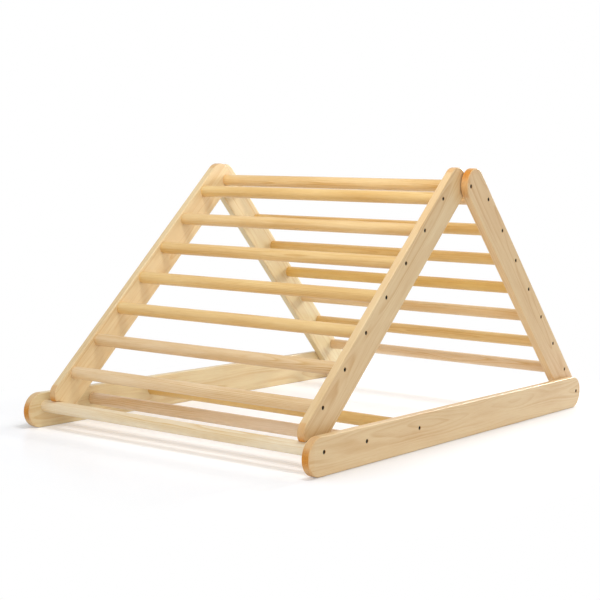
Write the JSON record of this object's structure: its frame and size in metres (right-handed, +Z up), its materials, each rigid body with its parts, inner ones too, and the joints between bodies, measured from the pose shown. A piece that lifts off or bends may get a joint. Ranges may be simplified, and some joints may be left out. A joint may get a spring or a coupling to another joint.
{
  "type": "folding climbing triangle",
  "caption": "Folding wooden climbing triangle for small children: rung ladders hinged at the top stand on a low base frame with cross dowels.",
  "frame": {"origin": "on the floor under the middle of the object's overall box", "axes": "+X along the rungs to the object's right, +Y along the base rails to the rear pivots, +Z up"},
  "size_m": [0.9, 1.3953, 0.692],
  "materials": {
    "wood_rail": "fine-sanded pale solid wood with a clear satin finish",
    "wood_rung": "turned pale hardwood with a clear satin finish",
    "dark_steel": "black-oxide steel with hexagon sockets",
    "washer": "natural nylon",
    "insert": "zinc-yellow threaded insert"
  },
  "bodies": {
    "base": {"base_rail_right": "wood_rail", "base_rail_left": "wood_rail", "base_dowel_front": "wood_rung", "base_dowel_middle": "wood_rung", "base_dowel_rear": "wood_rung", "base_screws": "dark_steel"},
    "rear_ladder": {"rear_rail_right": "wood_rail", "rear_rail_left": "wood_rail", "rear_rung_1": "wood_rung", "rear_rung_2": "wood_rung", "rear_rung_3": "wood_rung", "rear_rung_4": "wood_rung", "rear_rung_5": "wood_rung", "rear_rung_6": "wood_rung", "rear_rung_7": "wood_rung", "rear_screws": "dark_steel", "foot_bolts": "dark_steel", "foot_washers": "washer", "foot_inserts": "insert"},
    "front_ladder": {"front_rail_right": "wood_rail", "front_rail_left": "wood_rail", "front_rung_1": "wood_rung", "front_rung_2": "wood_rung", "front_rung_3": "wood_rung", "front_rung_4": "wood_rung", "front_rung_5": "wood_rung", "front_rung_6": "wood_rung", "front_rung_7": "wood_rung", "hinge_dowel": "wood_rung", "front_screws": "dark_steel", "apex_bolts": "dark_steel", "apex_washers": "washer", "apex_inserts": "insert"}
  },
  "joints": [
    {"name": "rear_fold", "type": "hinge", "parent": "base", "child": "rear_ladder", "pos_m": [0, 0.65425, 0.048], "axis": [-1, 0, 0], "range_deg": [0, 135]},
    {"name": "front_fold", "type": "hinge", "parent": "rear_ladder", "child": "front_ladder", "pos_m": [0, 0.02063, 0.64453], "axis": [1, 0, 0], "range_deg": [0, 92]}
  ],
  "couplings": [
    {"joint": "front_fold", "follows": "rear_fold", "ratio": 0.68148}
  ]
}
